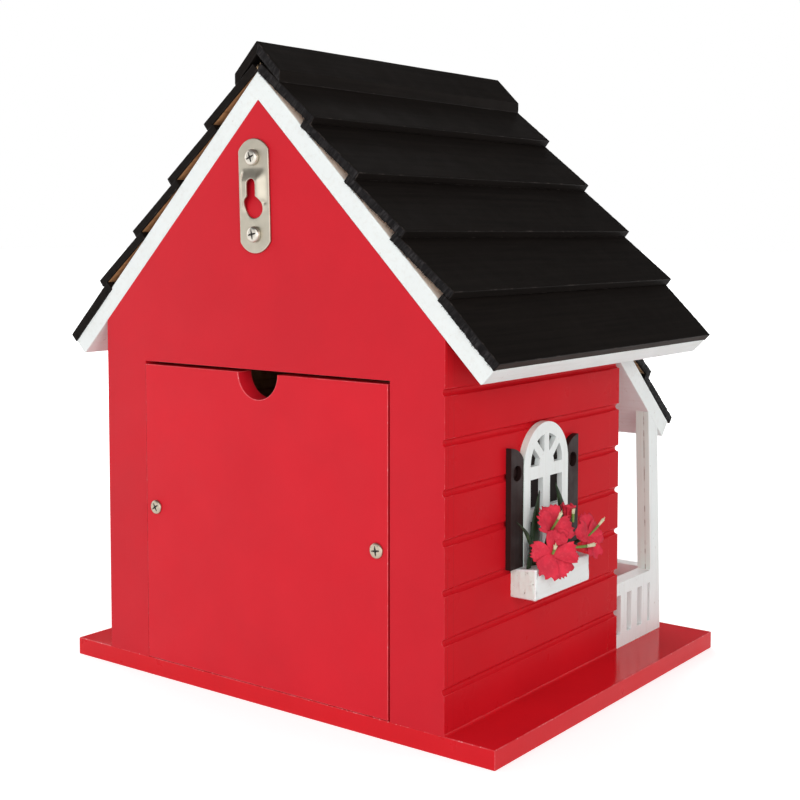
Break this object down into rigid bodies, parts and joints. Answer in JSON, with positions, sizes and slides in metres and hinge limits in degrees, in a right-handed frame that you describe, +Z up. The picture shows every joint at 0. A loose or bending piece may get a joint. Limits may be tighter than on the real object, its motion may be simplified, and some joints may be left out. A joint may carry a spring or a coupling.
{
  "type": "birdhouse",
  "caption": "Cottage birdhouse with shingled gable roof, front porch, side windows with shutters and flower boxes, and a screwed clean-out door at the back.",
  "frame": {"origin": "middle of the base board's underside, on the surface the birdhouse stands on", "axes": "+Z up; -Y is the front, with the porch and the entry hole; +Y is the rear, with the clean-out door and the hanger; -X is called left"},
  "size_m": [0.227, 0.1864, 0.2649],
  "materials": {
    "red_paint": "satin red paint",
    "white_paint": "satin white paint",
    "black_paint": "satin black paint",
    "raw_wood": "bare sawn wood",
    "black_card": "matt black",
    "petal": "matt dyed foliage",
    "leaf": "matt dyed foliage",
    "nickel_plate": "nickel plated",
    "screw_steel": "bright zinc"
  },
  "bodies": {
    "house": {"back_wall": "red_paint", "base": "red_paint", "door_cleat_left": "raw_wood", "door_cleat_right": "raw_wood", "door_knob": "screw_steel", "entry_ring": "white_paint", "flower_box_left": "white_paint", "flower_box_right": "white_paint", "flowers_left": "petal", "flowers_right": "petal", "front_door": "white_paint", "front_wall": "red_paint", "hanger_plate": "nickel_plate", "hanger_screws": "screw_steel", "leaves_left": "leaf", "leaves_right": "leaf", "porch_front_rail_left": "white_paint", "porch_front_rail_right": "white_paint", "porch_roof_board": "white_paint", "porch_shingle_1": "black_paint", "porch_shingle_2": "black_paint", "porch_side_panel_left": "white_paint", "porch_side_panel_right": "white_paint", "ridge_cap_left": "black_paint", "ridge_cap_right": "black_paint", "roof_board_left": "white_paint", "roof_board_right": "white_paint", "shingle_left_1": "black_paint", "shingle_left_2": "black_paint", "shingle_left_3": "black_paint", "shingle_left_4": "black_paint", "shingle_left_5": "black_paint", "shingle_right_1": "black_paint", "shingle_right_2": "black_paint", "shingle_right_3": "black_paint", "shingle_right_4": "black_paint", "shingle_right_5": "black_paint", "shutter_left_front": "black_paint", "shutter_left_rear": "black_paint", "shutter_right_front": "black_paint", "shutter_right_rear": "black_paint", "side_wall_left": "red_paint", "side_wall_right": "red_paint", "window_backing_left": "black_card", "window_backing_right": "black_card", "window_frame_left": "white_paint", "window_frame_right": "white_paint"},
    "clean_out_door": {"clean_out_door": "red_paint"},
    "door_screw_left": {"door_screw_left": "screw_steel"},
    "door_screw_right": {"door_screw_right": "screw_steel"}
  },
  "joints": [
    {"name": "door_pull", "type": "slide", "parent": "house", "child": "clean_out_door", "axis": [0, 1, 0], "range_m": [0, 0.06]},
    {"name": "screw_left_turn", "type": "hinge", "parent": "clean_out_door", "child": "door_screw_left", "pos_m": [-0.0591, 0.0905, 0.0716], "axis": [0, 1, 0], "continuous": true},
    {"name": "screw_right_turn", "type": "hinge", "parent": "clean_out_door", "child": "door_screw_right", "pos_m": [0.06, 0.0905, 0.0735], "axis": [0, 1, 0], "continuous": true}
  ]
}
